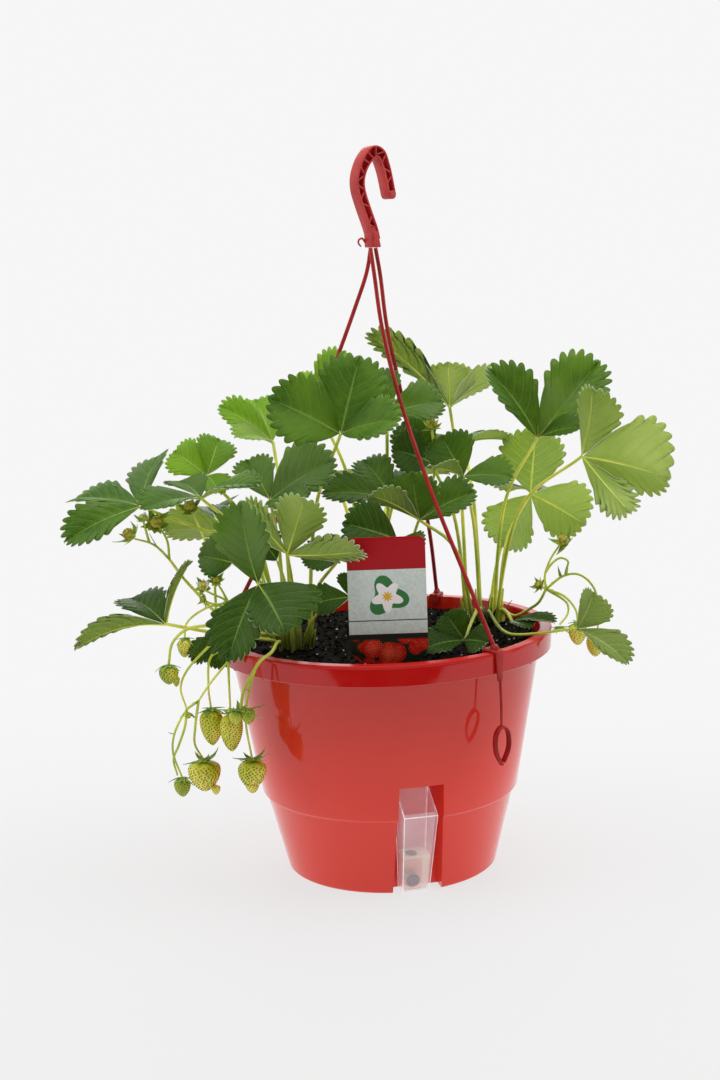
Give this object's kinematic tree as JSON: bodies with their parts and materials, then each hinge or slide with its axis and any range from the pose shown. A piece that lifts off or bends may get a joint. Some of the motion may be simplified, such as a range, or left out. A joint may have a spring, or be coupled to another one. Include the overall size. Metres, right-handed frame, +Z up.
{
  "type": "potted strawberry plant",
  "caption": "Strawberry plant with trifoliate leaves and unripe hanging berries in a tapered hanging pot with a water trough, tag and three-strand hook hanger.",
  "frame": {"origin": "middle of the pot's flat underside", "axes": "+Z up through the pot's axis to the hook, -Y towards the front with the tag and the water trough, +X to the right seen from the front"},
  "size_m": [0.4811, 0.3456, 0.5803],
  "materials": {
    "pot_plastic": "smooth glossy red moulded plastic",
    "hanger_plastic": "satin dark red moulded plastic",
    "clear_plastic": "clear thin moulded plastic",
    "water": "clear water, faintly tinted",
    "potting_soil": "loose dark moist peat with pale specks",
    "tag_card": "printed thin plastic card, bare of text",
    "leaf_green": "matt hairy leaf with impressed veins, paler below",
    "leaf_bright": "young or backlit yellow-green leaf",
    "stem_green": "hairy yellow-green stalk",
    "berry_skin": "unripe pale green fruit dotted with seeds"
  },
  "bodies": {
    "root": {"leaf_01": "leaf_green", "leaf_02": "leaf_bright", "leaf_03": "leaf_green", "leaf_04": "leaf_bright", "leaf_05": "leaf_green", "leaf_07": "leaf_green", "leaf_08": "leaf_green", "leaf_09": "leaf_green", "leaf_10": "leaf_green", "leaf_23": "leaf_green", "leaf_24": "leaf_green", "leaf_25": "leaf_green", "leaf_26": "leaf_green", "leaf_27": "leaf_green", "leaf_29": "leaf_green", "leaf_11": "leaf_green", "leaf_15": "leaf_green", "leaf_16": "leaf_green", "leaf_17": "leaf_green", "leaf_18": "leaf_green", "leaf_19": "leaf_bright", "leaf_20": "leaf_green", "leaf_21": "leaf_green", "leaf_22": "leaf_green", "leaf_28": "leaf_green", "leaf_06": "leaf_bright", "leaf_12": "leaf_green", "leaf_13": "leaf_green", "leaf_14": "leaf_green", "leaf_31": "leaf_green", "leaf_32": "leaf_green", "leaf_33": "leaf_green", "leaf_34": "leaf_green", "leaf_35": "leaf_green", "spray_left_upper": "stem_green", "spray_left_hanging": "stem_green", "spray_right": "stem_green", "spray_middle": "stem_green", "berry_1": "berry_skin", "berry_2": "berry_skin", "berry_3": "berry_skin", "berry_4": "berry_skin", "berry_5": "berry_skin", "berry_6": "berry_skin", "berry_7": "berry_skin", "berry_8": "berry_skin", "berry_9": "berry_skin", "berry_10": "berry_skin", "crown_left": "stem_green", "crown_right": "stem_green", "crown_middle": "stem_green", "soil": "potting_soil", "pot": "pot_plastic", "water_trough": "clear_plastic", "trough_water": "water", "plant_tag": "tag_card", "hanger_hook": "hanger_plastic", "hanger_strand_left": "hanger_plastic", "hanger_strand_front": "hanger_plastic", "hanger_strand_back": "hanger_plastic"}
  },
  "joints": []
}
